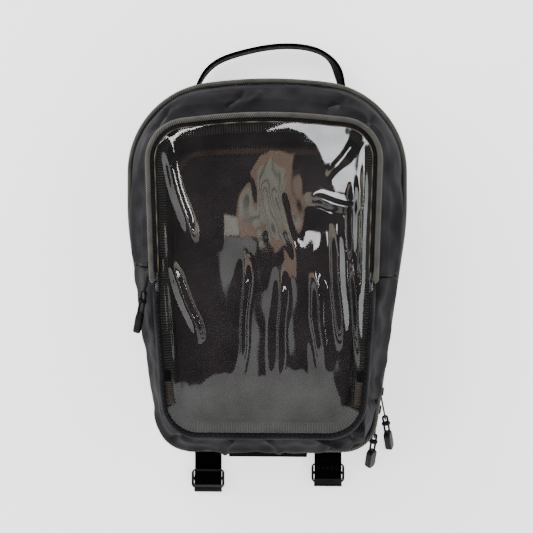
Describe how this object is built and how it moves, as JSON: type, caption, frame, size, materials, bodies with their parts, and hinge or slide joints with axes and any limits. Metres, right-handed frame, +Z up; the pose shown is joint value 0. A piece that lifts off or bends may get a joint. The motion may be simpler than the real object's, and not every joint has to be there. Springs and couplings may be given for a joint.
{
  "type": "motorcycle tank bag",
  "caption": "Soft motorcycle tank bag with an arched top, a zipped body, a clear map pocket on the lid, a carry handle and webbing straps with ladder-lock buckles.",
  "frame": {"origin": "on the flat underside of the base, on the bag's middle line, level with its side seams", "axes": "+X across the bag, +Y towards the handle end, +Z up out of the map window"},
  "size_m": [0.2472, 0.4062, 0.0983],
  "materials": {
    "grip_rubber": "grippy matt sheet",
    "shell_fabric": "twill nylon",
    "foam": "knitted cover over foam",
    "board": "matt sheet",
    "lining_fabric": "plain lining",
    "zip_tape": "woven tape",
    "zip_coil": "moulded coil",
    "piping": "ribbed bias binding",
    "grosgrain": "ribbed band",
    "film": "clear flexible film, wrinkled",
    "webbing": "woven webbing",
    "buckle_plastic": "moulded, satin",
    "slider_metal": "black painted die casting",
    "cord": "braided cord",
    "toggle_rubber": "soft moulded grip"
  },
  "bodies": {
    "base": {"base_grip_sheet": "grip_rubber", "base_skin": "shell_fabric", "base_foam": "foam", "base_stiffener_board": "board", "base_lining": "lining_fabric", "base_gusset": "shell_fabric", "hinge_strip": "shell_fabric", "main_zip_tape_lower": "zip_tape", "main_zip_coil_lower": "zip_coil", "base_flap": "shell_fabric", "strap_patches": "shell_fabric", "handle_patches": "shell_fabric"},
    "lid": {"lid_rim": "shell_fabric", "main_zip_tape_upper": "zip_tape", "main_zip_coil_upper": "zip_coil", "outer_piping": "piping", "gusset_upper": "shell_fabric", "gusset_lower": "shell_fabric", "lid_lining": "lining_fabric", "pocket_back_panel": "lining_fabric", "panel_pad": "foam", "retaining_band": "grosgrain", "pocket_wall_lower": "lining_fabric", "pocket_zip_tape_lower": "zip_tape", "pocket_zip_coil_lower": "zip_coil", "window_hem": "shell_fabric", "window_film_lower": "film", "gusset_sleeve_left": "grosgrain", "gusset_sleeve_right": "grosgrain"},
    "pocket_cover": {"pocket_frame": "lining_fabric", "pocket_zip_tape_upper": "zip_tape", "pocket_zip_coil_upper": "zip_coil", "pocket_piping": "piping", "window_film_upper": "film"},
    "main_end_slider": {"main_end_slider": "slider_metal"},
    "main_end_tab": {"main_end_pull_tab": "slider_metal"},
    "main_end_toggle": {"main_end_pull_cord": "cord", "main_end_pull_toggle": "toggle_rubber"},
    "main_top_slider": {"main_top_slider": "slider_metal"},
    "main_top_tab": {"main_top_pull_tab": "slider_metal"},
    "main_top_toggle": {"main_top_pull_cord": "cord", "main_top_pull_toggle": "toggle_rubber"},
    "pocket_slider": {"pocket_slider": "slider_metal"},
    "pocket_tab": {"pocket_pull_tab": "slider_metal"},
    "pocket_toggle": {"pocket_pull_cord": "cord", "pocket_pull_toggle": "toggle_rubber"},
    "strap_left": {"strap_left": "webbing"},
    "buckle_left": {"buckle_left": "buckle_plastic"},
    "strap_right": {"strap_right": "webbing"},
    "buckle_right": {"buckle_right": "buckle_plastic"},
    "handle": {"handle": "webbing"}
  },
  "joints": [
    {"name": "lid_open", "type": "hinge", "parent": "base", "child": "lid", "pos_m": [0, -0.1595, 0.024], "axis": [1, 0, 0], "range_deg": [0, 90]},
    {"name": "pocket_cover_open", "type": "hinge", "parent": "lid", "child": "pocket_cover", "pos_m": [0, -0.012, 0.098], "axis": [1, 0, 0], "range_deg": [0, 75]},
    {"name": "main_end_slide", "type": "slide", "parent": "base", "child": "main_end_slider", "axis": [0.1456, 0.9893, 0], "range_m": [-0.005, 0.0015]},
    {"name": "main_top_slide", "type": "slide", "parent": "base", "child": "main_top_slider", "axis": [0.1456, 0.9893, 0], "range_m": [0, 0.118]},
    {"name": "pocket_slide", "type": "slide", "parent": "lid", "child": "pocket_slider", "axis": [-0.0343, 0.9994, 0], "range_m": [0, 0.076]},
    {"name": "main_end_tab_swing", "type": "hinge", "parent": "main_end_slider", "child": "main_end_tab", "pos_m": [0.09812, -0.12757, 0.024], "axis": [0, 0, 1], "range_deg": [0, 8]},
    {"name": "main_end_toggle_lift", "type": "hinge", "parent": "main_end_tab", "child": "main_end_toggle", "pos_m": [0.09552, -0.15092, 0.024], "axis": [-0.9938, 0.111, 0], "range_deg": [0, 30]},
    {"name": "main_top_tab_swing", "type": "hinge", "parent": "main_top_slider", "child": "main_top_tab", "pos_m": [0.10048, -0.11157, 0.024], "axis": [0, 0, 1], "range_deg": [0, 45]},
    {"name": "main_top_toggle_lift", "type": "hinge", "parent": "main_top_tab", "child": "main_top_toggle", "pos_m": [0.10481, -0.13467, 0.024], "axis": [-0.9828, -0.1844, 0], "range_deg": [0, 30]},
    {"name": "pocket_tab_swing", "type": "hinge", "parent": "pocket_slider", "child": "pocket_tab", "pos_m": [-0.09457, -0.00013, 0.087], "axis": [0, 0, -1], "range_deg": [-4, 45]},
    {"name": "pocket_toggle_lift", "type": "hinge", "parent": "pocket_tab", "child": "pocket_toggle", "pos_m": [-0.10067, -0.02283, 0.087], "axis": [-0.9658, 0.2594, 0], "range_deg": [0, 30]},
    {"name": "strap_left_flop", "type": "hinge", "parent": "base", "child": "strap_left", "pos_m": [0, -0.1626, 0.006], "axis": [1, 0, 0], "range_deg": [-70, 0]},
    {"name": "buckle_left_turn", "type": "hinge", "parent": "strap_left", "child": "buckle_left", "pos_m": [0, -0.194, 0.0046], "axis": [1, 0, 0], "range_deg": [0, 10]},
    {"name": "strap_right_flop", "type": "hinge", "parent": "base", "child": "strap_right", "pos_m": [0, -0.1626, 0.006], "axis": [1, 0, 0], "range_deg": [-70, 0]},
    {"name": "buckle_right_turn", "type": "hinge", "parent": "strap_right", "child": "buckle_right", "pos_m": [0, -0.188, 0.0046], "axis": [-1, 0, 0], "range_deg": [0, 12]},
    {"name": "handle_lift", "type": "hinge", "parent": "base", "child": "handle", "pos_m": [0, 0.158, 0.011], "axis": [1, 0, 0], "range_deg": [0, 50]}
  ]
}
